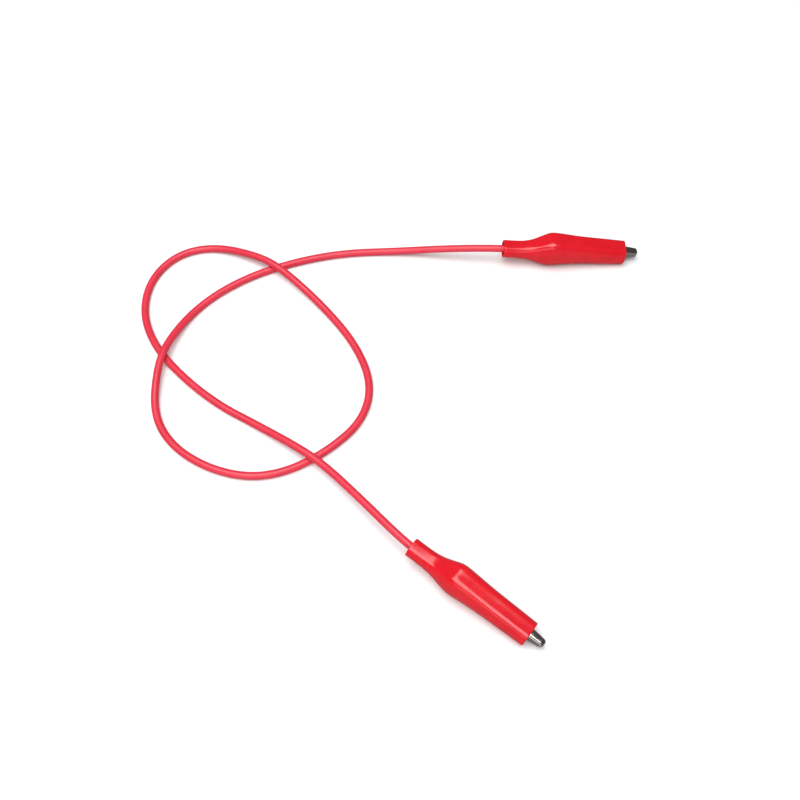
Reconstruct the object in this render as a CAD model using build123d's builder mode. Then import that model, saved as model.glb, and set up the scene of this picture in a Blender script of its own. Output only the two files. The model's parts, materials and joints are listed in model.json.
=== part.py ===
from build123d import *
import os
from math import cos, radians, sin, tan

os.makedirs("parts", exist_ok=True)

# A test lead: one thin insulated cord with a booted alligator clip crimped on each end.
# All sizes are millimetres. The lead lies on a table at z = 0, and the origin is on the table
# under the middle of the two clips.
#
# Each clip is modelled once in its own frame and then placed twice. In the clip's frame +X runs
# to the jaw tips, +Y along the hinge rivet and +Z the way the moving jaw opens; x = 0 is the
# boot's rear end and z = 0 is the line on which the teeth close.

# ---- Clip: stamped steel halves ----
SHEET = 0.4                 # strip that both halves are stamped from
PIVOT_X = 22.5              # hinge rivet
TIP_X = 39.5                # jaw tips
TEETH_START_X = 26.5
TOOTH_PITCH = 1.1
TOOTH_HEIGHT = 0.28         # each side of the closing line
TOOTH_COUNT = 11
BITE_GAP = 0.04             # each half stops this far from the closing line
TIP_HALF_WIDTH = 1.0
JAW_HALF_WIDTH = 2.05       # outside of the moving half's channel at the rivet
EAR_CLEARANCE = 0.05        # between the nested ears
EAR_RADIUS = 1.6
PAD_HALF_WIDTH = 2.6        # the part of each handle that a thumb presses
PAD_END_X = 15.8            # in front of this the handle narrows to the ears
EARS_START_X = 18.6
FIXED_EARS_END_X = 24.7
HANDLE_END_HALF_WIDTH = 1.4
TIP_TAPER_END_X = 38.8      # the last stretch rounds in to the tip's end
TIP_END_HALF_WIDTH = 0.45
TIP_END_Z = 0.6
WALL_END_X = 17.0           # behind this the channel's side walls have run out
WALL_END_Z = (2.1, 3.5)     # of the slanted edge there
PAST_CLIP = 6               # half of a cut that runs right across a clip

# Outer back line of a half, seen from the side, from the handle to the tip
BACK_LINE = [(13.6, 4.4), (15.2, 4.35), (19.5, 2.9), (24.0, 2.65), (35.5, 1.65), (39.1, 1.15)]
MOVING_HANDLE_END = (12.2, 3.75)
FIXED_HANDLE_END = (11.5, 4.1)

# ---- Rivet and torsion spring ----
RIVET_RADIUS = 0.6
RIVET_RUNNING_GAP = 0.05    # in the moving half's ears
RIVET_FIXED_GAP = 0.02      # in the fixed half's ears
RIVET_HEAD_RADIUS = 1.1
RIVET_HEAD_THICKNESS = 0.35
SPRING_WIRE = 0.5
COIL_RADIUS = 1.15          # to the middle of the wire
COIL_PITCH = 0.54
COIL_TURNS = 3
LEG_ANGLE = 18.0            # each leg from the closing line
LEG_LENGTH = 5.7

# ---- Crimps on the fixed half: start x, end x, centre z, bore radius, wall ----
JACKET_CRIMP_Z = -2.6
JACKET_CRIMP_END_X = 13.4
CRIMPS = [
    (11.5, JACKET_CRIMP_END_X, JACKET_CRIMP_Z, 1.1, SHEET),
    (14.6, 15.8, -3.05, 0.60, 0.37),
]
CRIMP_SEAM = 0.16           # slit where a crimp's two folded tabs meet

# ---- Cord ----
JACKET_RADIUS = 1.05
JACKET_BORE = 0.45
CONDUCTOR_RADIUS = 0.40
STRAND_RADIUS = 0.13
STRAND_SPACING = 0.27
STRAND_LENGTH = 2.5
STRAND_SLOPE = 14.0         # degrees, from the cord's axis down to the wire crimp
ARC_SHARE = 0.45            # share of the shorter run that an arc may take

# ---- Boot: soft moulded sleeve ----
# Sections along the clip: x, width, height, centre z, corner radius
BOOT_WALL = 0.65
NECK_Z = -1.2
BOOT_SECTIONS = [
    (0.0, 5.2, 4.4, NECK_Z, 1.9),
    (6.0, 5.2, 4.4, NECK_Z, 1.9),
    (8.0, 5.7, 5.4, -1.0, 2.0),
    (10.0, 6.8, 7.5, -0.7, 2.2),
    (12.0, 8.1, 9.8, -0.25, 2.3),
    (13.5, 8.6, 10.8, 0.0, 2.4),
    (15.0, 8.6, 10.7, 0.0, 2.4),
    (18.0, 8.1, 9.8, 0.0, 2.3),
    (25.0, 7.3, 8.2, 0.0, 2.0),
    (33.0, 6.9, 6.6, 0.0, 1.7),
    (35.5, 6.8, 6.3, 0.0, 1.6),
]

# ---- Where the clips lie: on the boot's bulge and the lower edge of its nose ----
NOSE_DIP = 6.12             # degrees that the tips point down
AXIS_HEIGHT = 6.92          # of the closing line at the boot's rear end
FAR_REAR = (-5.27, 55.94)
FAR_HEADING = 1.2           # degrees from +X
NEAR_REAR = (-32.37, -36.46)
NEAR_HEADING = -37.0

# The cord's route between the two boots, lying on the table apart from three humps where it
# passes over itself. The same three crossings make a loose overhand winding.
LYING = JACKET_RADIUS
OVER = 6.3                  # middle of the tube at a hump's top
ROUTE = [
    (-21.5, 57.0, 4.6),
    (-36.5, 58.6, LYING),
    (-51.0, 58.0, LYING),
    (-63.5, 55.4, LYING),
    (-76.5, 50.6, LYING),
    (-87.0, 44.0, LYING),
    (-94.8, 36.0, LYING),
    (-99.6, 25.4, OVER),
    (-101.6, 17.2, OVER),
    (-101.6, 4.0, LYING),
    (-96.0, -5.6, LYING),
    (-86.0, -12.4, LYING),
    (-74.5, -15.4, LYING),
    (-64.0, -13.4, LYING),
    (-53.6, -7.0, LYING),
    (-45.2, 1.6, LYING),
    (-42.8, 13.0, LYING),
    (-47.6, 26.0, LYING),
    (-57.2, 39.0, LYING),
    (-68.8, 50.0, OVER),
    (-76.2, 55.1, OVER),
    (-89.6, 60.4, LYING),
    (-100.5, 57.6, LYING),
    (-107.4, 48.6, LYING),
    (-108.4, 36.6, LYING),
    (-103.6, 25.2, LYING),
    (-94.6, 15.0, LYING),
    (-84.2, 6.4, LYING),
    (-74.0, 0.6, LYING),
    (-62.0, -7.5, OVER),
    (-54.8, -12.8, OVER),
    (-45.6, -22.6, 5.3),
]
# The cord inside a boot, in the clip's frame, from the crimp to just outside the neck
CLIP_ROUTE = [
    (JACKET_CRIMP_END_X, 0, JACKET_CRIMP_Z),
    (10.4, 0, JACKET_CRIMP_Z),
    (6.2, 0, NECK_Z),
    (-2.5, 0, NECK_Z),
]


def clip_plane(rear, heading):
    """The frame of a clip that lies with its boot's rear end over the point rear."""
    turn = radians(heading)
    dip = radians(NOSE_DIP)
    forward = Vector(cos(dip) * cos(turn), cos(dip) * sin(turn), -sin(dip))
    across = Vector(-sin(turn), cos(turn), 0)
    return Plane(origin=(*rear, AXIS_HEIGHT), x_dir=forward, z_dir=forward.cross(across))


def cord_points(far_clip, near_clip):
    """All the points of the cord, from the far clip's crimp to the near clip's."""
    far_end = [far_clip.from_local_coords(point) for point in CLIP_ROUTE]
    near_end = [near_clip.from_local_coords(point) for point in CLIP_ROUTE]
    return far_end + [Vector(*point) for point in ROUTE] + near_end[::-1]


def arc_radii(points):
    """The largest arc at each corner that leaves the middle of every run straight."""
    radii = []
    for before, corner, after in zip(points, points[1:], points[2:]):
        run_in = corner - before
        run_out = after - corner
        half_turn = radians(run_in.get_angle(run_out)) / 2
        radii.append(ARC_SHARE * min(run_in.length, run_out.length) / tan(half_turn))
    return radii


def boot_core(inset, overhang):
    """The boot's outer shape, or its hollow when inset by the wall, run past both ends."""
    first, *middle, last = BOOT_SECTIONS
    stations = [(first[0] - overhang, *first[1:]), *middle, (last[0] + overhang, *last[1:])]
    with BuildPart() as core:
        for x, width, height, centre_z, corner in stations:
            with BuildSketch(Plane(origin=(x, 0, centre_z), x_dir=(0, 1, 0), z_dir=(1, 0, 0))):
                RectangleRounded(width - 2 * inset, height - 2 * inset, corner - inset)
        loft(ruled=True)
    return core.part


def teeth_line():
    """The zigzag edge of a half, seen from the side, from the rear tooth to the tip."""
    points = []
    for step in range(2 * TOOTH_COUNT + 1):
        x = TEETH_START_X + step * TOOTH_PITCH / 2
        points.append((x, TOOTH_HEIGHT if step % 2 else -TOOTH_HEIGHT))
    return points


def clip_half(half_widths, handle_end, side):
    """One stamped half without its rivet holes; side is 1 for the moving, -1 for the fixed."""
    back = [handle_end, *BACK_LINE, (TIP_X, TIP_END_Z)]
    inner_back = [(x, z - SHEET) for x, z in back[:-1]]
    edge = [(x, z * side + BITE_GAP) for x, z in teeth_line()]
    wall_outline = [
        (WALL_END_X, WALL_END_Z[0]),
        (PIVOT_X - EAR_RADIUS, BITE_GAP),
        *edge,
        (TIP_X, BITE_GAP),
        (TIP_X, TIP_END_Z),
        *back[-2:2:-1],
        (WALL_END_X, WALL_END_Z[1]),
    ]
    plan_line = [*half_widths, *[(x, -y) for x, y in half_widths[::-1]]]

    # Side walls: the side view pulled across the clip, kept only along the edge of the plan
    with BuildPart() as walls:
        with BuildSketch(Plane.XZ):
            with BuildLine():
                Polyline([(x, z * side) for x, z in wall_outline], close=True)
            make_face()
            with Locations((PIVOT_X, 0)):
                Circle(EAR_RADIUS)
        extrude(amount=PAST_CLIP, both=True)
        with BuildSketch(Plane.XY):
            with BuildLine():
                Polyline(plan_line, close=True)
            make_face()
            offset(amount=-SHEET, mode=Mode.SUBTRACT, kind=Kind.INTERSECTION)
        extrude(amount=PAST_CLIP, both=True, mode=Mode.INTERSECT)

    # Back strip: the thin back line pulled across the clip, cut to the plan
    with BuildPart() as half:
        with BuildSketch(Plane.XZ):
            with BuildLine():
                outline = [*back, (TIP_X - SHEET, TIP_END_Z), *inner_back[::-1]]
                Polyline([(x, z * side) for x, z in outline], close=True)
            make_face()
        extrude(amount=PAST_CLIP, both=True)
        with BuildSketch(Plane.XY):
            with BuildLine():
                Polyline(plan_line, close=True)
            make_face()
        extrude(amount=PAST_CLIP, both=True, mode=Mode.INTERSECT)
        add(walls.part)
    return half.part


def rivet_bore(gap):
    """What is cut from a half's ears for the rivet."""
    with BuildPart() as bore:
        with BuildSketch(Plane.XZ):
            with Locations((PIVOT_X, 0)):
                Circle(RIVET_RADIUS + gap)
        extrude(amount=PAST_CLIP, both=True)
    return bore.part


def folded_tabs(start_x, end_x, centre_z, bore, wall):
    """A crimp: two tabs folded round a wire, nearly meeting in a seam on top."""
    with BuildPart() as tabs:
        with BuildSketch(Plane.YZ.offset(start_x)):
            with Locations((0, centre_z)):
                Circle(bore + wall)
                Circle(bore, mode=Mode.SUBTRACT)
            with Locations((0, centre_z + bore + wall / 2)):
                Rectangle(CRIMP_SEAM, 2 * wall, mode=Mode.SUBTRACT)
        extrude(amount=end_x - start_x)
    return tabs.part


def crimp_bore(start_x, end_x, centre_z, bore):
    """The wire's own space inside a crimp."""
    with BuildPart() as space:
        with BuildSketch(Plane.YZ.offset(start_x)):
            with Locations((0, centre_z)):
                Circle(bore)
        extrude(amount=end_x - start_x)
    return space.part


# ---- Moving jaw ----
MOVING_PLAN = [
    (MOVING_HANDLE_END[0], HANDLE_END_HALF_WIDTH),
    (MOVING_HANDLE_END[0] + 1.0, PAD_HALF_WIDTH),
    (PAD_END_X, PAD_HALF_WIDTH),
    (EARS_START_X, JAW_HALF_WIDTH),
    (TEETH_START_X, JAW_HALF_WIDTH),
    (TIP_TAPER_END_X, TIP_HALF_WIDTH),
    (TIP_X, TIP_END_HALF_WIDTH),
]
with BuildPart() as moving_jaw:
    add(clip_half(MOVING_PLAN, MOVING_HANDLE_END, 1))
    add(rivet_bore(RIVET_RUNNING_GAP), mode=Mode.SUBTRACT)

# ---- Fixed jaw, with the crimps in its handle ----
FIXED_EAR_HALF_WIDTH = JAW_HALF_WIDTH + EAR_CLEARANCE + SHEET
FIXED_PLAN = [
    (FIXED_HANDLE_END[0], HANDLE_END_HALF_WIDTH),
    (FIXED_HANDLE_END[0] + 1.2, PAD_HALF_WIDTH),
    (PAD_END_X, PAD_HALF_WIDTH),
    (EARS_START_X, FIXED_EAR_HALF_WIDTH),
    (FIXED_EARS_END_X, FIXED_EAR_HALF_WIDTH),
    (TEETH_START_X + 0.4, JAW_HALF_WIDTH),
    (TIP_TAPER_END_X, TIP_HALF_WIDTH),
    (TIP_X, TIP_END_HALF_WIDTH),
]
with BuildPart() as fixed_jaw:
    add(clip_half(FIXED_PLAN, FIXED_HANDLE_END, -1))
    add(rivet_bore(RIVET_FIXED_GAP), mode=Mode.SUBTRACT)
    for start_x, end_x, centre_z, bore, wall in CRIMPS:
        add(folded_tabs(start_x, end_x, centre_z, bore, wall))
        add(crimp_bore(start_x, end_x, centre_z, bore), mode=Mode.SUBTRACT)

# ---- Pivot rivet ----
with BuildPart() as pivot_rivet:
    with Locations(Location((PIVOT_X, 0, 0), (90, 0, 0))):
        Cylinder(RIVET_RADIUS, 2 * FIXED_EAR_HALF_WIDTH)
    for end in (-1, 1):
        head_y = end * (FIXED_EAR_HALF_WIDTH + RIVET_HEAD_THICKNESS / 2)
        with Locations(Location((PIVOT_X, head_y, 0), (90, 0, 0))):
            Cylinder(RIVET_HEAD_RADIUS, RIVET_HEAD_THICKNESS)

# ---- Return spring: a coil round the rivet and two legs that push the handles apart ----
# The wire is drawn with its first leg level, then turned until the legs open evenly.
coil_sweep = 360 * COIL_TURNS + 180 - 2 * LEG_ANGLE
coil_length = COIL_PITCH * coil_sweep / 360
with BuildLine() as wire_line:
    coil_line = Helix(
        COIL_PITCH, coil_length, COIL_RADIUS, center=(0, coil_length / 2, 0), direction=(0, -1, 0)
    )
    Line(coil_line @ 0 - coil_line % 0 * LEG_LENGTH, coil_line @ 0)
    Line(coil_line @ 1, coil_line @ 1 + coil_line % 1 * LEG_LENGTH)
wire_path = wire_line.wire()
with BuildPart() as spring_wire:
    with BuildSketch(Plane(origin=wire_path @ 0, z_dir=wire_path % 0)):
        Circle(SPRING_WIRE / 2)
    sweep(path=wire_path)
with BuildPart() as return_spring:
    add(spring_wire.part.rotate(Axis.Y, -LEG_ANGLE).translate((PIVOT_X, 0, 0)))

# ---- Bare strands, spread from the cord's end down into the wire crimp ----
with BuildPart() as wire_strands:
    with BuildSketch(Plane.YZ.offset(JACKET_CRIMP_END_X)):
        with Locations((0, JACKET_CRIMP_Z)):
            Circle(STRAND_RADIUS)
            with PolarLocations(STRAND_SPACING, 6):
                Circle(STRAND_RADIUS)
    slope = radians(STRAND_SLOPE)
    extrude(amount=STRAND_LENGTH, dir=(cos(slope), 0, -sin(slope)))

# ---- Boot ----
with BuildPart() as boot:
    add(boot_core(0, 0))
    add(boot_core(BOOT_WALL, 1), mode=Mode.SUBTRACT)

# ---- Both clips, placed ----
clips = {"near": clip_plane(NEAR_REAR, NEAR_HEADING), "far": clip_plane(FAR_REAR, FAR_HEADING)}
pieces = {
    "fixed_jaw": fixed_jaw,
    "moving_jaw": moving_jaw,
    "pivot_rivet": pivot_rivet,
    "return_spring": return_spring,
    "wire_strands": wire_strands,
    "boot": boot,
}
for end, plane in clips.items():
    for name, piece in pieces.items():
        placed = piece.part.moved(plane.location)
        placed.label = f"{end}_{name}"
        export_step(placed, f"parts/{placed.label}.step")
    hinge = plane.from_local_coords((PIVOT_X, 0, 0))
    print(f"{end} hinge at {hinge}, opening axis {-plane.y_dir}")

# ---- Cord: the jacket and the conductor inside it, swept along one route ----
points = cord_points(clips["far"], clips["near"])
radii = arc_radii(points)
print("arc radii:", ", ".join(f"{radius:.1f}" for radius in radii))
with BuildLine() as cord_line:
    FilletPolyline(points, radius=radii)
print(f"cord length {cord_line.wire().length:.1f}")
cord_end = Plane(origin=cord_line.line @ 0, z_dir=cord_line.line % 0)

with BuildPart() as cord_jacket:
    with BuildSketch(cord_end):
        Circle(JACKET_RADIUS)
        Circle(JACKET_BORE, mode=Mode.SUBTRACT)
    sweep(path=cord_line.line)

with BuildPart() as cord_conductor:
    with BuildSketch(cord_end):
        Circle(CONDUCTOR_RADIUS)
    sweep(path=cord_line.line)

cord_jacket.part.label = "cord_jacket"
cord_conductor.part.label = "cord_conductor"
for cord in (cord_jacket, cord_conductor):
    export_step(cord.part, f"parts/{cord.part.label}.step")
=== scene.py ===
# %% [markdown]
# # Alligator clip lead
# A test lead is one thin insulated cord with a spring clip on each end, and each clip wears a soft
# vinyl boot. The sizes come with the frame: every CAD part is already in its place, in metres.
# This lesson gives each part its finished surface and its material.

import json
from math import cos, pi, radians, sin

import bmesh
import bpy
import numpy
from mathutils import Matrix, Vector


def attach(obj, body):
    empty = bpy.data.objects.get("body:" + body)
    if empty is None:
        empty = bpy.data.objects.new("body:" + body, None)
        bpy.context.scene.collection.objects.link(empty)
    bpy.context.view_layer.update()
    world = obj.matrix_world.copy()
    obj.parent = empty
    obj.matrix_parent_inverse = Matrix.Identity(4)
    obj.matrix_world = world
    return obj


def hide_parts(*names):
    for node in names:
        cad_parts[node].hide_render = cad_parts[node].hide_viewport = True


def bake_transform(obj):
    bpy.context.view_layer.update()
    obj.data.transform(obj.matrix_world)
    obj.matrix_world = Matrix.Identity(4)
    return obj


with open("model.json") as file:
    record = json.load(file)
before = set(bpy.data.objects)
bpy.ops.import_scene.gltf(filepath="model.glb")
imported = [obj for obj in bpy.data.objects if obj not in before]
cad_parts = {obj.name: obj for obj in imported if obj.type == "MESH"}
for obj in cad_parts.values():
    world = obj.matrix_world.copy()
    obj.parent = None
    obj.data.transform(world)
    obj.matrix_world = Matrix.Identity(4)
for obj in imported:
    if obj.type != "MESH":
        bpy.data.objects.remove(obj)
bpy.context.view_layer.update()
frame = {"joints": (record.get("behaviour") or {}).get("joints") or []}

# %% [markdown]
# ## Camera
# The lead lies on a table and is looked at from steeply above. A camera can be turned by typing
# angles, but aiming it at a point is easier to read and to change: the direction from the camera
# to the point becomes the camera's -Z axis.

# %% Camera
VIEW_CENTRE = Vector((-0.0352, 0.0086, 0.0))
VIEW_DISTANCE = 0.2883
VIEW_ELEVATION = radians(60)
LENS_MM = 47.7

camera = bpy.data.objects.new("camera", bpy.data.cameras.new("camera"))
bpy.context.scene.collection.objects.link(camera)
camera.data.lens = LENS_MM
camera.data.clip_start = 0.01
camera_away = Vector((0, -cos(VIEW_ELEVATION), sin(VIEW_ELEVATION)))
camera.location = VIEW_CENTRE + camera_away * VIEW_DISTANCE
camera.rotation_euler = (-camera_away).to_track_quat("-Z", "Y").to_euler()
bpy.context.scene.camera = camera
print("camera at", [round(value, 3) for value in camera.location])

# %% [markdown]
# ## Studio
# Glossy vinyl shows its shape by what it mirrors, so the main light is one large soft box above:
# its reflection is a clean patch that stops where the surface turns away. A weaker box low in
# front lightens the sides. The world adds an even fill. Through Light Path, the camera sees the
# world as a pale backdrop, and glossy surfaces see it dark, so that steel keeps its contrast.

# %% Studio light
FILL_STRENGTH = 0.30
MIRRORED_STRENGTH = 0.07
BACKDROP_STRENGTH = 1.0


def softbox(name, place, size, watts):
    """A rectangular soft light that faces the middle of the lead."""
    light = bpy.data.lights.new(name, "AREA")
    light.shape = "RECTANGLE"
    light.size, light.size_y = size
    light.energy = watts
    lamp = bpy.data.objects.new(name, light)
    lamp.location = place
    lamp.rotation_euler = (lamp.location - VIEW_CENTRE).to_track_quat("Z", "Y").to_euler()
    bpy.context.scene.collection.objects.link(lamp)


softbox("top_softbox", place=(-0.11, -0.05, 0.60), size=(0.62, 0.54), watts=5.0)
softbox("front_softbox", place=(-0.15, -0.62, 0.24), size=(0.70, 0.30), watts=0.9)

world = bpy.data.worlds.new("studio")
bpy.context.scene.world = world
world.use_nodes = True
sky = world.node_tree
background = sky.nodes["Background"]
background.inputs["Color"].default_value = (1.0, 1.0, 1.0, 1.0)
light_path = sky.nodes.new("ShaderNodeLightPath")
fill_or_mirrored = sky.nodes.new("ShaderNodeMix")
fill_or_mirrored.inputs[2].default_value = FILL_STRENGTH
fill_or_mirrored.inputs[3].default_value = MIRRORED_STRENGTH
sky.links.new(light_path.outputs["Is Glossy Ray"], fill_or_mirrored.inputs[0])
or_backdrop = sky.nodes.new("ShaderNodeMix")
or_backdrop.inputs[3].default_value = BACKDROP_STRENGTH
sky.links.new(fill_or_mirrored.outputs[0], or_backdrop.inputs[2])
sky.links.new(light_path.outputs["Is Camera Ray"], or_backdrop.inputs[0])
sky.links.new(or_backdrop.outputs[0], background.inputs["Strength"])
bpy.context.scene.view_settings.view_transform = "Standard"
print("studio lights:", [light.name for light in bpy.data.lights])

# %% [markdown]
# ## Where the clips lie
# Every clip piece is drawn once, in millimetres, in the clip's own frame: +X to the jaw tips,
# +Y along the hinge rivet, +Z the way the jaw opens, x = 0 at the boot's rear end and z = 0 on
# the line where the teeth close. Each hinge of the CAD model gives the place of its clip: the
# rivet is a known distance along the clip, and the clip's nose points a little down.

# %% The two clip frames
MM = 0.001
PIVOT_X = 22.5
NOSE_DIP = radians(6.12)


def clip_frame(hinge):
    """The matrix that takes a clip drawn in millimetres to its place on the lead."""
    across = -Vector(hinge["axis"])
    level = across.cross(Vector((0, 0, 1)))
    forward = level * cos(NOSE_DIP) - Vector((0, 0, sin(NOSE_DIP)))
    turn = Matrix((forward, across, forward.cross(across))).transposed().to_4x4()
    rear = Vector(hinge["pos_m"]) - forward * PIVOT_X * MM
    return Matrix.Translation(rear) @ turn @ Matrix.Scale(MM, 4)


clip_frames = {}
for hinge in frame["joints"]:
    end = hinge["name"].removesuffix("_jaw_hinge")
    clip_frames[end] = clip_frame(hinge)
    print(end, "boot's rear end at", [round(value, 4) for value in clip_frames[end].translation])

# %% [markdown]
# ## Helpers
# A clip piece is finished in three steps: its shape is stored as a mesh, each point's place on
# the clip is kept in an attribute for the materials to read, and the mesh is moved to its place.
# Because a pattern reads the kept place, it sits on the clip in the same way at both ends and
# stays put when a jaw opens.

# %% Finish a clip piece
def finished_piece(bm, name, end, material):
    """Stores a clip piece drawn in millimetres as an object in its place on the lead."""
    mesh = bpy.data.meshes.new(name)
    bm.to_mesh(mesh)
    bm.free()
    on_clip = [value for vertex in mesh.vertices for value in vertex.co]
    mesh.attributes.new("place_on_clip", "FLOAT_VECTOR", "POINT")
    mesh.attributes["place_on_clip"].data.foreach_set("vector", on_clip)
    mesh.transform(clip_frames[end])
    mesh.shade_smooth()
    mesh.materials.append(material)
    piece = bpy.data.objects.new(name, mesh)
    bpy.context.scene.collection.objects.link(piece)
    return piece


def add_modifier(piece, kind, **settings):
    """Puts a modifier with the given settings on a piece."""
    modifier = piece.modifiers.new(kind.lower(), kind)
    for setting, value in settings.items():
        setattr(modifier, setting, value)


# %% Build shader nodes
def add_node(tree, kind, links=None, **values):
    """Adds a shader node, sets its inputs or settings by name and links outputs to its inputs."""
    node = tree.nodes.new("ShaderNode" + kind)
    for name, value in values.items():
        if name in node.inputs:
            node.inputs[name].default_value = value
        else:
            setattr(node, name, value)
    for name, output in (links or {}).items():
        tree.links.new(output, node.inputs[name])
    return node


def stretched(tree, value, taken=(0.0, 1.0), given=(0.0, 1.0), **values):
    """Stretches a value from the range taken to the range given; gives the output socket."""
    node = add_node(tree, "MapRange", {"Value": value}, **values)
    node.inputs["From Min"].default_value, node.inputs["From Max"].default_value = taken
    node.inputs["To Min"].default_value, node.inputs["To Max"].default_value = given
    return node.outputs[0]


def mixed_colour(tree, share, first, second):
    """Mixes two plain colours by a share from 0 to 1; gives the output socket."""
    node = add_node(tree, "Mix", data_type="RGBA")
    node.inputs[6].default_value = (*first, 1.0)
    node.inputs[7].default_value = (*second, 1.0)
    tree.links.new(share, node.inputs[0])
    return node.outputs[2]


def place_on_clip(tree):
    """The kept place of a clip piece, already in millimetres."""
    return add_node(tree, "Attribute", attribute_name="place_on_clip").outputs["Vector"]


def place_on_lead(tree):
    """The place of a piece that was never moved, turned from metres into millimetres."""
    own_place = add_node(tree, "TexCoord").outputs["Object"]
    return add_node(tree, "Mapping", {"Vector": own_place}, Scale=(1 / MM,) * 3).outputs[0]


def new_material(name, **values):
    """A material whose main shader has the given plain values, with its node tree."""
    material = bpy.data.materials.new(name)
    material.use_nodes = True
    shader = material.node_tree.nodes["Principled BSDF"]
    for socket, value in values.items():
        shader.inputs[socket.replace("_", " ")].default_value = value
    return material, material.node_tree, shader


def new_group(name, inputs, outputs):
    """An empty shader node group with named sockets, and its two end nodes."""
    group = bpy.data.node_groups.new(name, "ShaderNodeTree")
    for socket, kind in inputs.items():
        group.interface.new_socket(socket, in_out="INPUT", socket_type="NodeSocket" + kind)
    for socket, kind in outputs.items():
        group.interface.new_socket(socket, in_out="OUTPUT", socket_type="NodeSocket" + kind)
    return group, group.nodes.new("NodeGroupInput"), group.nodes.new("NodeGroupOutput")


# %% [markdown]
# ## Soft vinyl
# Boots and cord are both soft vinyl, one moulded and one drawn through a die. Neither is a flat
# colour: the pigment is a little uneven, the skin has long shallow waves and a faint orange peel,
# and handling leaves dull smudges. All of that is one node group, which reads a place in
# millimetres, so the boot and the cord only differ in the values that they put in.

# %% Vinyl skin, shared by the boots and the cord
vinyl_skin, skin_in, skin_out = new_group(
    "vinyl_skin",
    {"Place": "Vector", "Waviness": "Float", "Peel": "Float"},
    {"Pigment": "Float", "Smudge": "Float", "Height": "Float"},
)
place = skin_in.outputs["Place"]
pigment = add_node(vinyl_skin, "TexNoise", {"Vector": place}, Scale=0.16, Detail=3.0)
smudges = add_node(vinyl_skin, "TexNoise", {"Vector": place}, Scale=0.45, Detail=6.0, Roughness=0.65)
smudge = stretched(vinyl_skin, smudges.outputs[0], taken=(0.48, 0.72))
waves = add_node(vinyl_skin, "TexNoise", {"Vector": place}, Scale=0.22, Detail=1.0)
peel = add_node(vinyl_skin, "TexNoise", {"Vector": place}, Scale=5.0, Detail=3.0)
wave_height = add_node(vinyl_skin, "Math", operation="MULTIPLY")
vinyl_skin.links.new(waves.outputs[0], wave_height.inputs[0])
vinyl_skin.links.new(skin_in.outputs["Waviness"], wave_height.inputs[1])
skin_height = add_node(vinyl_skin, "Math", operation="MULTIPLY_ADD")
vinyl_skin.links.new(peel.outputs[0], skin_height.inputs[0])
vinyl_skin.links.new(skin_in.outputs["Peel"], skin_height.inputs[1])
vinyl_skin.links.new(wave_height.outputs[0], skin_height.inputs[2])
vinyl_skin.links.new(pigment.outputs[0], skin_out.inputs["Pigment"])
vinyl_skin.links.new(smudge, skin_out.inputs["Smudge"])
vinyl_skin.links.new(skin_height.outputs[0], skin_out.inputs["Height"])


# %% Vinyl materials
def vinyl(name, place_on, deep, light, gloss, waviness, peel_height, **values):
    """Soft vinyl: deep and light are its two reds, gloss its roughness clean and smudged."""
    material, tree, shader = new_material(name, **values)
    skin = add_node(tree, "Group", {"Place": place_on(tree)}, node_tree=vinyl_skin)
    skin.inputs["Waviness"].default_value = waviness
    skin.inputs["Peel"].default_value = peel_height
    colour = mixed_colour(tree, skin.outputs["Pigment"], deep, light)
    tree.links.new(colour, shader.inputs["Base Color"])
    roughness = stretched(tree, skin.outputs["Smudge"], given=gloss)
    tree.links.new(roughness, shader.inputs["Roughness"])
    bump = add_node(tree, "Bump", {"Height": skin.outputs["Height"]}, Strength=1.0, Distance=MM)
    tree.links.new(bump.outputs[0], shader.inputs["Normal"])
    return material


boot_vinyl = vinyl(
    "boot_vinyl", place_on_clip, deep=(0.56, 0.006, 0.014), light=(0.70, 0.012, 0.022),
    gloss=(0.15, 0.25), waviness=0.06, peel_height=0.0007,
    IOR=1.53, Subsurface_Weight=0.12, Subsurface_Scale=0.0012, Subsurface_Radius=(1.0, 0.12, 0.08),
)
cord_vinyl = vinyl(
    "cord_vinyl", place_on_lead, deep=(0.60, 0.020, 0.045), light=(0.74, 0.036, 0.070),
    gloss=(0.36, 0.50), waviness=0.02, peel_height=0.0016,
    IOR=1.5, Subsurface_Weight=0.10, Subsurface_Scale=0.0008, Subsurface_Radius=(1.0, 0.15, 0.12),
)
print("vinyls:", boot_vinyl.name, "and", cord_vinyl.name)

# %% [markdown]
# ## Metal
# The jaws are nickel-plated steel strip, the spring is bare spring wire and the strands are
# copper. Rolling and drawing leave fine lines along the clip, tumbling leaves short scratches
# aslant, and fingers leave dull patches. One node group makes these marks, and each metal sets
# its own colours, roughness and depth of marks.

# %% Metal marks, shared by the jaws, rivets, springs and strands
metal_marks, marks_in, marks_out = new_group(
    "metal_marks", {"Place": "Vector"}, {"Dullness": "Float", "Tarnish": "Float", "Height": "Float"}
)
place = marks_in.outputs["Place"]
dull = add_node(metal_marks, "TexNoise", {"Vector": place}, Scale=0.9, Detail=5.0, Roughness=0.6)
tarnish = add_node(metal_marks, "TexNoise", {"Vector": place}, Scale=0.35, Detail=4.0)
lengthwise = add_node(metal_marks, "Mapping", {"Vector": place}, Scale=(0.5, 22.0, 22.0))
rolling = add_node(metal_marks, "TexNoise", {"Vector": lengthwise.outputs[0]}, Scale=1.0, Detail=4.0)
aslant = add_node(
    metal_marks, "Mapping", {"Vector": place}, Scale=(14.0, 1.2, 14.0), Rotation=(0.4, 0.3, 0.7)
)
scratching = add_node(metal_marks, "TexNoise", {"Vector": aslant.outputs[0]}, Scale=1.0, Detail=2.0)
scratches = stretched(metal_marks, scratching.outputs[0], taken=(0.64, 0.70))
marks_height = add_node(metal_marks, "Math", operation="SUBTRACT")
metal_marks.links.new(rolling.outputs[0], marks_height.inputs[0])
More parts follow.
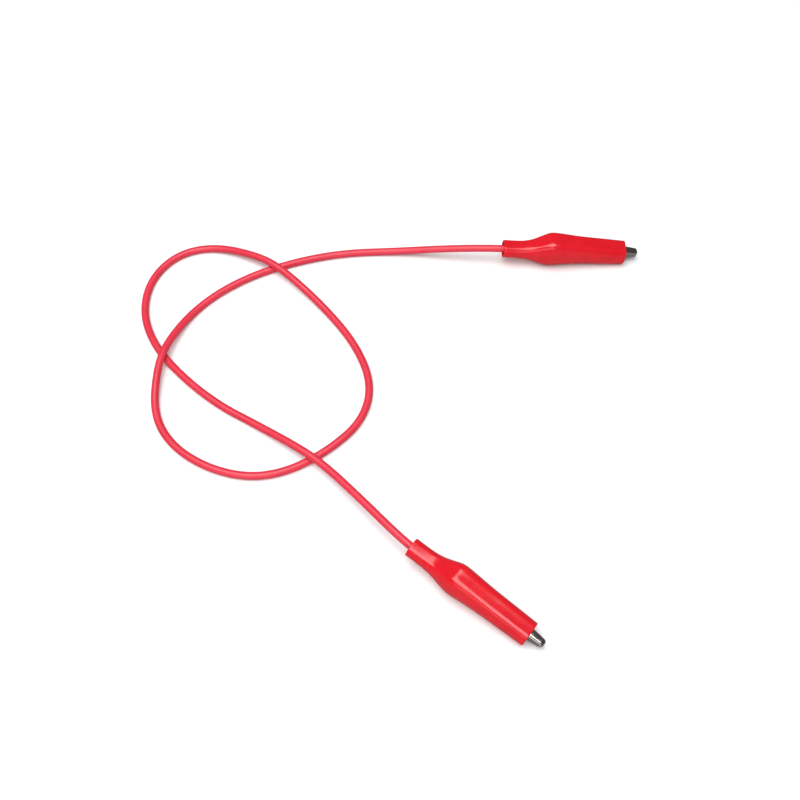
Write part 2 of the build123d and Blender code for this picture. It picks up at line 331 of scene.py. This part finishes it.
metal_marks.links.new(scratches, marks_height.inputs[1])
metal_marks.links.new(dull.outputs[0], marks_out.inputs["Dullness"])
metal_marks.links.new(tarnish.outputs[0], marks_out.inputs["Tarnish"])
metal_marks.links.new(marks_height.outputs[0], marks_out.inputs["Height"])


# %% Metal materials
def metal(name, colours, gloss, mark_depth_mm, place_on=place_on_clip):
    """A metal: its clean and tarnished colours, and its roughness, polished and dull."""
    material, tree, shader = new_material(name, Metallic=1.0)
    marks = add_node(tree, "Group", {"Place": place_on(tree)}, node_tree=metal_marks)
    colour = mixed_colour(tree, marks.outputs["Tarnish"], *colours)
    tree.links.new(colour, shader.inputs["Base Color"])
    roughness = stretched(tree, marks.outputs["Dullness"], taken=(0.3, 0.7), given=gloss)
    tree.links.new(roughness, shader.inputs["Roughness"])
    bump = add_node(tree, "Bump", {"Height": marks.outputs["Height"]}, Distance=mark_depth_mm * MM)
    tree.links.new(bump.outputs[0], shader.inputs["Normal"])
    return material


NICKEL_COLOURS = ((0.76, 0.73, 0.70), (0.60, 0.56, 0.52))
RIVET_COLOURS = ((0.66, 0.65, 0.64), (0.50, 0.48, 0.46))
SPRING_COLOURS = ((0.50, 0.49, 0.48), (0.36, 0.34, 0.31))
COPPER_COLOURS = ((0.90, 0.48, 0.32), (0.62, 0.27, 0.16))

nickel_plate = metal("nickel_plate", NICKEL_COLOURS, gloss=(0.08, 0.20), mark_depth_mm=0.0012)
rivet_steel = metal("rivet_steel", RIVET_COLOURS, gloss=(0.20, 0.38), mark_depth_mm=0.004)
spring_steel = metal("spring_steel", SPRING_COLOURS, gloss=(0.24, 0.42), mark_depth_mm=0.004)
copper = metal("copper", COPPER_COLOURS, gloss=(0.20, 0.40), mark_depth_mm=0.003)
core_copper = metal("core_copper", COPPER_COLOURS, (0.20, 0.40), 0.003, place_on=place_on_lead)
print("metals:", nickel_plate.name, rivet_steel.name, spring_steel.name, copper.name)

# %% [markdown]
# ## Table
# The table is only there to catch light and the soft shadows that show what touches it. It is
# pale and almost plain, with a trace of unevenness. Light Path makes it darker where glossy
# surfaces mirror it, so the sides of the boots keep their red, and makes it glow far out where
# the camera sees it, so that it has no dark horizon.

# %% Table
TABLE_SIDE = 6.0
TABLE_GREYS = ((0.90, 0.90, 0.90), (0.92, 0.92, 0.92))
TABLE_ROUGHNESS = 0.6
MIRRORED_TABLE = (0.18, 0.17, 0.17)
PALING = (0.20, 0.80)       # how far out, in metres, the table fades into the backdrop
table_paint, table_tree, table_shader = new_material("table_paint", Specular_IOR_Level=0.3)
table_place = add_node(table_tree, "TexCoord")
table_noise = add_node(table_tree, "TexNoise", {"Vector": table_place.outputs["Object"]}, Scale=30.0)
table_colour = mixed_colour(table_tree, table_noise.outputs[0], *TABLE_GREYS)
table_rays = add_node(table_tree, "LightPath")
mirrored = add_node(table_tree, "Mix", data_type="RGBA")
mirrored.inputs[7].default_value = (*MIRRORED_TABLE, 1.0)
table_tree.links.new(table_rays.outputs["Is Glossy Ray"], mirrored.inputs[0])
table_tree.links.new(table_colour, mirrored.inputs[6])
table_tree.links.new(mirrored.outputs[2], table_shader.inputs["Base Color"])
table_shader.inputs["Roughness"].default_value = TABLE_ROUGHNESS
away = add_node(table_tree, "VectorMath", {0: table_place.outputs["Object"]}, operation="LENGTH")
paling = stretched(
    table_tree, away.outputs["Value"], taken=PALING, interpolation_type="SMOOTHSTEP"
)
glow = add_node(table_tree, "Math", operation="MULTIPLY")
table_tree.links.new(paling, glow.inputs[0])
table_tree.links.new(table_rays.outputs["Is Camera Ray"], glow.inputs[1])
table_shader.inputs["Emission Color"].default_value = (1.0, 1.0, 1.0, 1.0)
table_tree.links.new(glow.outputs[0], table_shader.inputs["Emission Strength"])

table_bm = bmesh.new()
bmesh.ops.create_grid(table_bm, x_segments=4, y_segments=4, size=TABLE_SIDE / 2)
table_mesh = bpy.data.meshes.new("table")
table_bm.to_mesh(table_mesh)
table_bm.free()
table_mesh.materials.append(table_paint)
table = bpy.data.objects.new("table", table_mesh)
bpy.context.scene.collection.objects.link(table)
print("table side:", TABLE_SIDE, "m")

# %% [markdown]
# ## Cord
# The cord is a fixed length of limp wire, so its curve is one smooth NURBS spline through its
# route: out of a boot at the height of its neck, down to the table, through a loose winding and
# up into the other boot. At the three places where it passes over itself, the route rises by
# about one cord's thickness. Order 3 and the end points are set after the points are there. The
# core inside the insulation follows the same route with a smaller radius.

# %% The cord's route
CORD_RADIUS = 0.00105
CORE_RADIUS = 0.00040
LYING = 0.00107             # height of the cord's middle on the table
OVER = 0.00330              # and where it passes over itself
# inside a boot, in millimetres on the clip: from the crimp to just outside the neck
CLIP_ROUTE = [(13.4, 0, -2.6), (10.4, 0, -2.6), (6.2, 0, -1.2), (-2.5, 0, -1.2)]
ROUTE = [
    (-0.0215, 0.0570, 0.0044),
    (-0.0365, 0.0586, LYING),
    (-0.0510, 0.0580, LYING),
    (-0.0635, 0.0554, LYING),
    (-0.0765, 0.0506, LYING),
    (-0.0870, 0.0440, LYING),
    (-0.0948, 0.0360, LYING),
    (-0.0996, 0.0254, OVER),
    (-0.1016, 0.0172, OVER),
    (-0.1016, 0.0040, LYING),
    (-0.0960, -0.0056, LYING),
    (-0.0860, -0.0124, LYING),
    (-0.0745, -0.0154, LYING),
    (-0.0640, -0.0134, LYING),
    (-0.0536, -0.0070, LYING),
    (-0.0452, 0.0016, LYING),
    (-0.0428, 0.0130, LYING),
    (-0.0476, 0.0260, LYING),
    (-0.0572, 0.0390, LYING),
    (-0.0688, 0.0500, OVER),
    (-0.0762, 0.0551, OVER),
    (-0.0896, 0.0604, LYING),
    (-0.1005, 0.0576, LYING),
    (-0.1074, 0.0486, LYING),
    (-0.1084, 0.0366, LYING),
    (-0.1036, 0.0252, LYING),
    (-0.0946, 0.0150, LYING),
    (-0.0842, 0.0064, LYING),
    (-0.0740, 0.0006, LYING),
    (-0.0620, -0.0075, OVER),
    (-0.0548, -0.0128, OVER),
    (-0.0456, -0.0226, 0.0047),
]
far_run = [clip_frames["far"] @ Vector(point) for point in CLIP_ROUTE]
near_run = [clip_frames["near"] @ Vector(point) for point in CLIP_ROUTE]
cord_points = [*far_run, *[Vector(point) for point in ROUTE], *near_run[::-1]]


# %% Lay the cord
def laid_cord(name, radius, material):
    """A round cord of the given radius along the route, as a curve."""
    line = bpy.data.curves.new(name, "CURVE")
    line.dimensions = "3D"
    line.bevel_depth = radius
    line.bevel_resolution = 5
    line.use_fill_caps = True
    line.resolution_u = 10
    spline = line.splines.new("NURBS")
    spline.points.add(len(cord_points) - 1)
    for point, place in zip(spline.points, cord_points):
        point.co = (*place, 1.0)
    spline.order_u = 3
    spline.use_endpoint_u = True
    line.materials.append(material)
    piece = bpy.data.objects.new(name, line)
    bpy.context.scene.collection.objects.link(piece)
    return piece


insulation = laid_cord("cord_insulation", CORD_RADIUS, cord_vinyl)
core = laid_cord("cord_core", CORE_RADIUS, core_copper)
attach(insulation, "lead")
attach(core, "lead")
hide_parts("cord_jacket")
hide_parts("cord_conductor")
print("cord laid through", len(cord_points), "points")

# %% [markdown]
# ## Boot
# The boot is a moulded sleeve of soft vinyl: a round neck on the cord, an S-shaped flare, a bulge
# over the handles and a long nose cut off flat. The steel inside pulls the vinyl tight over four
# long folds, so a cross section is almost an ellipse, but with a narrow flat top and bottom. A
# sleeve like this can be lofted from its cross sections. Each section starts as a six-sided
# circle stood across the clip. A vertex bevel rounds its two side points widely and its four
# fold corners less, the middle of its flat top and bottom sinks a little, and bridging joins
# neighbours. Solidify gives the wall, a bevel rounds the two cut rims and a subdivision surface
# smooths everything.

# %% Boot sections
# place along the clip, width, height, height of the middle, width between folds, sink; all in mm
BOOT_SECTIONS = [
    (0.0, 5.10, 4.40, -1.20, 2.65, 0.00),
    (1.0, 5.05, 4.35, -1.20, 2.65, 0.00),
    (3.6, 5.00, 4.32, -1.20, 2.60, 0.00),
    (6.0, 5.12, 4.45, -1.19, 2.65, 0.00),
    (8.0, 5.60, 5.25, -1.10, 2.95, 0.02),
    (10.0, 6.50, 6.95, -0.88, 3.50, 0.04),
    (12.0, 7.62, 8.75, -0.52, 4.10, 0.05),
    (13.4, 8.10, 9.45, -0.25, 4.40, 0.05),
    (14.6, 8.05, 9.35, -0.16, 4.45, 0.07),
    (17.2, 7.70, 8.60, -0.05, 4.35, 0.08),
    (20.0, 7.28, 7.70, 0.00, 4.20, 0.08),
    (23.6, 6.98, 7.05, -0.03, 4.05, 0.08),
    (28.6, 6.80, 6.65, -0.09, 3.90, 0.08),
    (33.0, 6.60, 6.20, -0.15, 3.75, 0.06),
    (35.5, 6.50, 6.00, -0.18, 3.65, 0.04),
]
BOOT_WALL = 0.60
SIDE_ROUNDING = 0.50        # share of a slanted side that its rounded point takes
FOLD_ROUNDING = 0.20        # and that a rounded fold takes
ROUNDING_STEPS = 3
FLAT_CUTS = 1
RIM_ROUNDING = 0.18
SHARP_RIM = 1.0             # radians between two faces, from which an edge is a cut one
SAME_PLACE = 1e-4
NEAR_RIM = 1e-3


def boot_section(bm, x, width, height, middle, folds, sink):
    """A six-sided section with rounded corners, stood across the clip; gives its loop of edges."""
    stand = Matrix.Translation((x, 0, middle)) @ Matrix.Rotation(pi / 2, 4, "Y")
    centre = Matrix.Translation((-x, 0, -middle))
    size = Matrix.Diagonal((height / 2 / cos(pi / 6), width / 2, 1, 1))
    known = set(bm.edges)
    ring = bmesh.ops.create_circle(bm, cap_ends=True, segments=6, radius=1, matrix=stand @ size)
    tips = [vertex for vertex in ring["verts"] if abs(vertex.co.z - middle) < SAME_PLACE]
    corners = [vertex for vertex in ring["verts"] if vertex not in tips]
    bmesh.ops.scale(bm, verts=corners, vec=(1, 2 * folds / width, 1), space=centre)
    slant = min((tips[0].co - corner.co).length for corner in corners)
    for rounded, share in ((tips, SIDE_ROUNDING), (corners, FOLD_ROUNDING)):
        bmesh.ops.bevel(
            bm, geom=rounded, affect="VERTICES", offset=share * slant, offset_type="OFFSET",
            segments=ROUNDING_STEPS, profile=0.5, material=-1,
        )
    loop = [edge for edge in bm.edges if edge not in known]
    points = {vertex for edge in loop for vertex in edge.verts}
    shrunk = 2 * max(vertex.co.y for vertex in points)
    bmesh.ops.scale(bm, verts=list(points), vec=(1, width / shrunk, 1), space=centre)
    bmesh.ops.delete(bm, geom=loop[0].link_faces[:], context="FACES_ONLY")
    flats = [edge for edge in loop if abs(edge.verts[0].co.z - edge.verts[1].co.z) < SAME_PLACE]
    cut = bmesh.ops.subdivide_edges(bm, edges=flats, cuts=FLAT_CUTS)["geom_inner"]
    between = [part for part in cut if isinstance(part, bmesh.types.BMVert)]
    bmesh.ops.scale(bm, verts=between, vec=(1, 1, 1 - 2 * sink / height), space=centre)
    return [edge for edge in bm.edges if edge not in known]


# %% Loft the boot and give it a wall
def boot_shell():
    """The boot's mesh, in millimetres on the clip."""
    bm = bmesh.new()
    loops = [boot_section(bm, *section) for section in BOOT_SECTIONS]
    for loop, next_loop in zip(loops, loops[1:]):
        bmesh.ops.bridge_loops(bm, edges=loop + next_loop)
    bmesh.ops.recalc_face_normals(bm, faces=bm.faces[:])
    bmesh.ops.solidify(bm, geom=bm.faces[:], thickness=BOOT_WALL)
    cut_edges = []
    for rim_x in (BOOT_SECTIONS[0][0], BOOT_SECTIONS[-1][0]):
        rim = [e for e in bm.edges if all(abs(v.co.x - rim_x) < NEAR_RIM for v in e.verts)]
        cut_edges += [edge for edge in rim if edge.calc_face_angle() > SHARP_RIM]
    bmesh.ops.bevel(
        bm, geom=cut_edges, affect="EDGES", offset=RIM_ROUNDING, offset_type="OFFSET",
        segments=2, profile=0.5, material=-1,
    )
    widest = max(vertex.co.y for vertex in bm.verts)
    print("boot cage:", len(bm.faces), "faces, half width", round(widest, 2), "mm")
    return bm


boots = {}
for end in clip_frames:
    boot = finished_piece(boot_shell(), end + "_boot_sleeve", end, boot_vinyl)
    add_modifier(boot, "SUBSURF", levels=2, render_levels=2)
    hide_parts(end + "_boot")
    boots[end] = boot

# %% [markdown]
# ## The boots in place
# Each boot's object transform is baked into its mesh.

for end, boot in boots.items():
    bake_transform(boot)
print("boots blended across the hinge:", len(boots))

# %% [markdown]
# ## Jaws
# Each half of the clip is one steel strip with teeth cut along both edges, folded into a
# channel. The fold is modelled the same way at every place along it: a U with two rounded
# bends, one unit deep and one unit to each side, is extruded from station to station, and each
# station only scales and moves it. The two free edges are then moved on to the cut line, so
# stations half a tooth apart make the teeth and the bends above them stay smooth. Solidify
# gives the sheet its thickness, and a small bevel takes the sharpness off the cut edges.

# %% Outlines of the jaws, in millimetres on the clip
SHEET = 0.4
EAR_RADIUS = 1.6
EAR_STEPS = 8
TEETH_RUN_UP = 0.3          # straight edge before the first tooth
TEETH_START_X = 26.5
TOOTH_PITCH = 1.1
TOOTH_HEIGHT = 0.28
TOOTH_COUNT = 11
BITE_GAP = 0.04
TIP_X = 39.5
FOLD_RADIUS = 0.5           # share of the half width and of the depth
FOLD_STEPS = 5
LEAST_DEPTH = SHEET + 0.05
CUT_EDGE_ROUNDING = 0.06
CUT_EDGE_ANGLE = radians(50)
# backs are (place along the clip, height) and widths are (place along the clip, half width)
BACK_LINE = [(14.0, 3.65), (15.2, 3.62), (19.5, 2.9), (24.0, 2.65), (35.5, 1.65), (38.7, 1.22)]
TIP_LINE = [(39.1, 1.08), (39.35, 0.88), (TIP_X, 0.62)]
MOVING_BACK = [(13.0, 3.45), *BACK_LINE, *TIP_LINE]
FIXED_BACK = [(11.5, 4.08), (13.6, 4.12), (15.2, 3.95), *BACK_LINE[2:], *TIP_LINE]
TIP_WIDTHS = [(38.7, 1.02), (39.1, 0.93), (39.35, 0.74), (TIP_X, 0.5)]
MOVING_WIDTHS = [(13.0, 1.25), (14.0, 2.05), (26.5, 2.05), *TIP_WIDTHS]
FIXED_WIDTHS = [
    (11.5, 1.25), (12.7, 2.05), (15.8, 2.15), (18.6, 2.5), (24.7, 2.5), (26.9, 2.05), *TIP_WIDTHS
]
PAD_END_X = 16.4
PAD_DEPTH = 0.8             # how deep the arched handle pads are
WALLS_START = (17.2, 2.1)   # where the walls come down from the pads
PLAIN_EDGE = [WALLS_START, (PIVOT_X - EAR_RADIUS, 0), (TIP_X, 0)]


def cut_edge():
    """The lower edge of a half's walls, from behind the ear to the tip."""
    ear = [
        (PIVOT_X - EAR_RADIUS * cos(turn), -EAR_RADIUS * sin(turn))
        for turn in (step * pi / EAR_STEPS for step in range(EAR_STEPS + 1))
    ]
    teeth = [
        (TEETH_START_X + step * TOOTH_PITCH / 2, TOOTH_HEIGHT if step % 2 else -TOOTH_HEIGHT)
        for step in range(2 * TOOTH_COUNT + 1)
    ]
    return [WALLS_START, *ear, (TEETH_START_X - TEETH_RUN_UP, 0), *teeth, (TIP_X, 0)]


def value_at(line, x):
    """The value of a line of (x, value) points at x."""
    return float(numpy.interp(x, *zip(*line)))


print("a cut edge has", len(cut_edge()), "points")


# %% Fold a half
def folded_half(back, widths, side):
    """One stamped half without thickness; side is 1 for the moving half, -1 for the fixed one."""
    edge = [(x, z * side if x >= TEETH_START_X else z) for x, z in cut_edge()]
    stations = sorted({x for line in (back, widths, edge) for x, _ in line} | {PAD_END_X})
    bm = bmesh.new()
    corners = [bm.verts.new(place) for place in ((0, -1, 0), (0, -1, 1), (0, 1, 1), (0, 1, 0))]
    for pair in zip(corners, corners[1:]):
        bm.edges.new(pair)
    bmesh.ops.bevel(
        bm, geom=corners[1:3], affect="VERTICES", offset=FOLD_RADIUS, offset_type="OFFSET",
        segments=FOLD_STEPS, profile=0.5, material=-1,
    )
    strip = bm.edges[:]
    last, last_cut = Matrix.Identity(4), 0
    for x in stations:
        top = value_at(back, x)
        plain = value_at(PLAIN_EDGE, x)
        low = top - PAD_DEPTH if x <= PAD_END_X else plain + BITE_GAP
        cut = 0 if x <= PAD_END_X else value_at(edge, x) - plain
        depth = max(top - low, LEAST_DEPTH)
        size = Matrix.Diagonal((1, value_at(widths, x), depth, 1))
        here = Matrix.Translation((x, 0, top - depth)) @ size
        if x > stations[0]:
            made = bmesh.ops.extrude_edge_only(bm, edges=strip)["geom"]
            strip = [part for part in made if isinstance(part, bmesh.types.BMEdge)]
        points = list({vertex: None for part in strip for vertex in part.verts})
        free_edges = sorted(points, key=lambda vertex: vertex.co.z)[:2]
        bmesh.ops.translate(bm, verts=free_edges, vec=(0, 0, -last_cut))
        bmesh.ops.transform(bm, matrix=here @ last.inverted(), verts=points)
        bmesh.ops.translate(bm, verts=free_edges, vec=(0, 0, cut))
        last, last_cut = here, cut
    bmesh.ops.contextual_create(bm, geom=points)
    return bm


# %% Jaw pieces
def jaw_mesh(back, widths, side):
    """A folded half with its sheet thickness, turned to its own side of the clip."""
    bm = folded_half(back, widths, side)
    bmesh.ops.recalc_face_normals(bm, faces=bm.faces[:])
    if sum(face.normal.z for face in bm.faces) < 0:
        bmesh.ops.reverse_faces(bm, faces=bm.faces[:])
    bmesh.ops.solidify(bm, geom=bm.faces[:], thickness=SHEET)
    if side < 0:
        bmesh.ops.scale(bm, verts=bm.verts[:], vec=(1, 1, -1))
        bmesh.ops.reverse_faces(bm, faces=bm.faces[:])
    return bm


def soften_cut_edges(piece):
    """Takes the sharpness off the cut edges of a piece of sheet, as tumbling does."""
    add_modifier(
        piece, "BEVEL", width=CUT_EDGE_ROUNDING * MM, segments=2, limit_method="ANGLE",
        angle_limit=CUT_EDGE_ANGLE,
    )


def jaw_piece(end, name, back, widths, side, body):
    """A jaw half as a finished piece on its body."""
    half = finished_piece(jaw_mesh(back, widths, side), f"{end}_{name}", end, nickel_plate)
    soften_cut_edges(half)
    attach(half, body)
    return half


for end in clip_frames:
    moving_jaw = end + "_moving_jaw"
    upper = jaw_piece(end, "jaw_upper", MOVING_BACK, MOVING_WIDTHS, 1, moving_jaw)
    lower = jaw_piece(end, "jaw_lower", FIXED_BACK, FIXED_WIDTHS, -1, "lead")
    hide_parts(moving_jaw)
    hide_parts(end + "_fixed_jaw")
print("jaw halves:", len(upper.data.polygons), "and", len(lower.data.polygons), "faces")

# %% [markdown]
# ## Crimps
# Behind the ears the fixed half has two pairs of tabs, rolled shut round the insulation and round
# the bare strands. A rolled tab is a short rectangle spun round the wire, stopping just short of
# a full turn so that the seam stays open on top.

# %% Crimps on the fixed halves
# name, first and last place along the clip, height of the wire's middle, bore radius, wall; in mm
CRIMPS = [
    ("jacket_crimp", 11.5, 13.4, -2.6, 1.1, 0.4),
    ("wire_crimp", 14.6, 15.8, -3.05, 0.60, 0.37),
]
SEAM_ANGLE = radians(9)
CRIMP_STEPS = 30


def crimp_mesh(start_x, end_x, centre_z, bore, wall):
    """One rolled crimp, in millimetres on the clip."""
    bm = bmesh.new()
    stand = Matrix.Translation(((start_x + end_x) / 2, 0, centre_z + bore + wall / 2))
    lie = Matrix.Rotation(pi / 2, 4, "X") @ Matrix.Diagonal((end_x - start_x, wall, 1, 1))
    bmesh.ops.create_grid(bm, x_segments=1, y_segments=1, size=0.5, matrix=stand @ lie)
    centre = Vector((0, 0, centre_z))
    half_seam = Matrix.Rotation(SEAM_ANGLE / 2, 4, "X")
    bmesh.ops.rotate(bm, verts=bm.verts[:], cent=centre, matrix=half_seam)
    bmesh.ops.spin(
        bm, geom=bm.faces[:], cent=centre, axis=(1, 0, 0), dvec=(0, 0, 0),
        angle=2 * pi - SEAM_ANGLE, steps=CRIMP_STEPS, use_merge=False, use_duplicate=False,
    )
    bmesh.ops.recalc_face_normals(bm, faces=bm.faces[:])
    return bm


for end in clip_frames:
    for name, *sizes in CRIMPS:
        tabs = finished_piece(crimp_mesh(*sizes), f"{end}_{name}", end, nickel_plate)
        soften_cut_edges(tabs)
        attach(tabs, "lead")
print("a rolled crimp has", len(tabs.data.polygons), "faces")

# %% [markdown]
# ## Rivet
# The hinge is a tubular rivet with a dished head at each end. The outline of one half, from its
# middle out to the head, is spun once round and mirrored to the other end.

# %% Rivets
RIVET_RADIUS = 0.6
EAR_FACE = 2.5              # how far out the ears' outer faces stand, where the heads sit
RIVET_STEPS = 32
# radius and place along the rivet, from its middle over the rim of the head to the axis
RIVET_HALF_OUTLINE = [
    (RIVET_RADIUS, 0.0), (RIVET_RADIUS, EAR_FACE), (1.02, EAR_FACE), (1.1, 2.56), (1.08, 2.66),
    (0.92, 2.76), (0.62, 2.80), (0.42, 2.76), (0.30, 2.60), (0.0, 2.56),
]


def rivet_mesh():
    """The rivet, in millimetres on the clip."""
    bm = bmesh.new()
    points = [bm.verts.new((PIVOT_X + radius, y, 0)) for radius, y in RIVET_HALF_OUTLINE]
    outline = [bm.edges.new(pair) for pair in zip(points, points[1:])]
    bmesh.ops.spin(
        bm, geom=outline, cent=(PIVOT_X, 0, 0), axis=(0, 1, 0), dvec=(0, 0, 0),
        angle=2 * pi, steps=RIVET_STEPS, use_merge=True, use_duplicate=False,
    )
    half = bm.verts[:] + bm.edges[:] + bm.faces[:]
    bmesh.ops.mirror(bm, geom=half, axis="Y", merge_dist=SAME_PLACE)
    bmesh.ops.remove_doubles(bm, verts=bm.verts[:], dist=SAME_PLACE)
    bmesh.ops.recalc_face_normals(bm, faces=bm.faces[:])
    open_edges = sum(edge.is_boundary for edge in bm.edges)
    print("rivet:", len(bm.faces), "faces,", open_edges, "open edges")
    return bm


for end in clip_frames:
    rivet = finished_piece(rivet_mesh(), end + "_hinge_rivet", end, rivet_steel)
    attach(rivet, "lead")
    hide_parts(end + "_pivot_rivet")

# %% [markdown]
# ## Spring
# A torsion spring is one wire: a leg, a coil and a leg. Spin with a sideways step winds the wire's
# round end into the coil, and each leg is that end pulled out along the coil's tangent. The two
# legs press on the two handles.

# %% Springs
WIRE_RADIUS = 0.25
WIRE_SIDES = 12
COIL_RADIUS = 1.15
COIL_PITCH = 0.54
LEG_ANGLE = radians(15)
LEG_LENGTH = 5.7
WHOLE_TURNS = 3
COIL_SWEEP = 2 * pi * WHOLE_TURNS + pi - 2 * LEG_ANGLE
COIL_STEPS = 102
COIL_LENGTH = COIL_PITCH * COIL_SWEEP / (2 * pi)
LEG_STEPS = 4


def pulled_leg(bm, ring, along_leg):
    """Pulls a ring of edges out along a leg and closes its end."""
    for step in range(LEG_STEPS):
        made = bmesh.ops.extrude_edge_only(bm, edges=ring)["geom"]
        ring = [part for part in made if isinstance(part, bmesh.types.BMEdge)]
        ends = [part for part in made if isinstance(part, bmesh.types.BMVert)]
        bmesh.ops.translate(bm, verts=ends, vec=along_leg / LEG_STEPS)
    bmesh.ops.holes_fill(bm, edges=ring, sides=0)


def spring_mesh():
    """The spring at rest, in millimetres on the clip."""
    bm = bmesh.new()
    lower_leg = Vector((-cos(LEG_ANGLE), 0, -sin(LEG_ANGLE))) * LEG_LENGTH
    upper_leg = Vector((-cos(LEG_ANGLE), 0, sin(LEG_ANGLE))) * LEG_LENGTH
    outward = Vector((sin(LEG_ANGLE), 0, -cos(LEG_ANGLE)))
    coil_start = Vector((PIVOT_X, COIL_LENGTH / 2, 0)) + outward * COIL_RADIUS
    facing = lower_leg.to_track_quat("Z", "Y").to_matrix().to_4x4()
    stand = Matrix.Translation(coil_start) @ facing
    bmesh.ops.create_circle(
        bm, cap_ends=False, segments=WIRE_SIDES, radius=WIRE_RADIUS, matrix=stand
    )
    first_ring = bm.edges[:]
    wound = bmesh.ops.spin(
        bm, geom=first_ring, cent=(PIVOT_X, 0, 0), axis=(0, -1, 0),
        dvec=(0, -COIL_LENGTH / COIL_STEPS, 0), angle=COIL_SWEEP, steps=COIL_STEPS,
        use_merge=False, use_duplicate=False,
    )
    last_ring = [part for part in wound["geom_last"] if isinstance(part, bmesh.types.BMEdge)]
    pulled_leg(bm, first_ring, lower_leg)
    pulled_leg(bm, last_ring, upper_leg)
    bmesh.ops.recalc_face_normals(bm, faces=bm.faces[:])
    open_edges = sum(edge.is_boundary for edge in bm.edges)
    print("spring:", len(bm.faces), "faces,", open_edges, "open edges")
    return bm


for end in clip_frames:
    spring = finished_piece(spring_mesh(), end + "_torsion_spring", end, spring_steel)
    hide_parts(end + "_return_spring")
    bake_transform(spring)

# %% [markdown]
# ## Strands
# The bared wire is seven copper strands, one in the middle and six round it, still slightly
# twisted from the cord's lay. Circles stood on the bundle's axis are pulled along it in steps
# that each turn a little.

# %% Wire strands
STRAND_RADIUS = 0.13
STRAND_SIDES = 10
STRAND_SPACING = 0.27
STRANDS_AROUND = 6
STRAND_LENGTH = 2.5
STRAND_STEPS = 10
STRAND_TWIST = radians(55)
STRAND_SLOPE = radians(14)
BUNDLE_START = Vector((13.4, 0, -2.6))


def strand_mesh():
    """The bundle of bare strands, in millimetres on the clip."""
    bm = bmesh.new()
    axis = Vector((cos(STRAND_SLOPE), 0, -sin(STRAND_SLOPE)))
    facing = Matrix.Translation(BUNDLE_START) @ axis.to_track_quat("Z", "Y").to_matrix().to_4x4()
    offsets = [Vector((0, 0, 0))]
    for strand in range(STRANDS_AROUND):
        turn = 2 * pi * strand / STRANDS_AROUND
        offsets.append(Vector((cos(turn), sin(turn), 0)) * STRAND_SPACING)
    for offset in offsets:
        spot = facing @ Matrix.Translation(offset)
        bmesh.ops.create_circle(
            bm, cap_ends=True, segments=STRAND_SIDES, radius=STRAND_RADIUS, matrix=spot
        )
    rings = bm.edges[:]
    for step in range(STRAND_STEPS):
        made = bmesh.ops.extrude_edge_only(bm, edges=rings)["geom"]
        rings = [part for part in made if isinstance(part, bmesh.types.BMEdge)]
        ends = [part for part in made if isinstance(part, bmesh.types.BMVert)]
        turn = Matrix.Rotation(STRAND_TWIST / STRAND_STEPS, 4, axis)
        bmesh.ops.rotate(bm, verts=ends, cent=BUNDLE_START, matrix=turn)
        bmesh.ops.translate(bm, verts=ends, vec=axis * STRAND_LENGTH / STRAND_STEPS)
    bmesh.ops.holes_fill(bm, edges=rings, sides=0)
    bmesh.ops.recalc_face_normals(bm, faces=bm.faces[:])
    open_edges = sum(edge.is_boundary for edge in bm.edges)
    print("strands:", len(bm.faces), "faces,", open_edges, "open edges")
    return bm


for end in clip_frames:
    strands = finished_piece(strand_mesh(), end + "_bare_strands", end, copper)
    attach(strands, "lead")
    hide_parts(end + "_wire_strands")
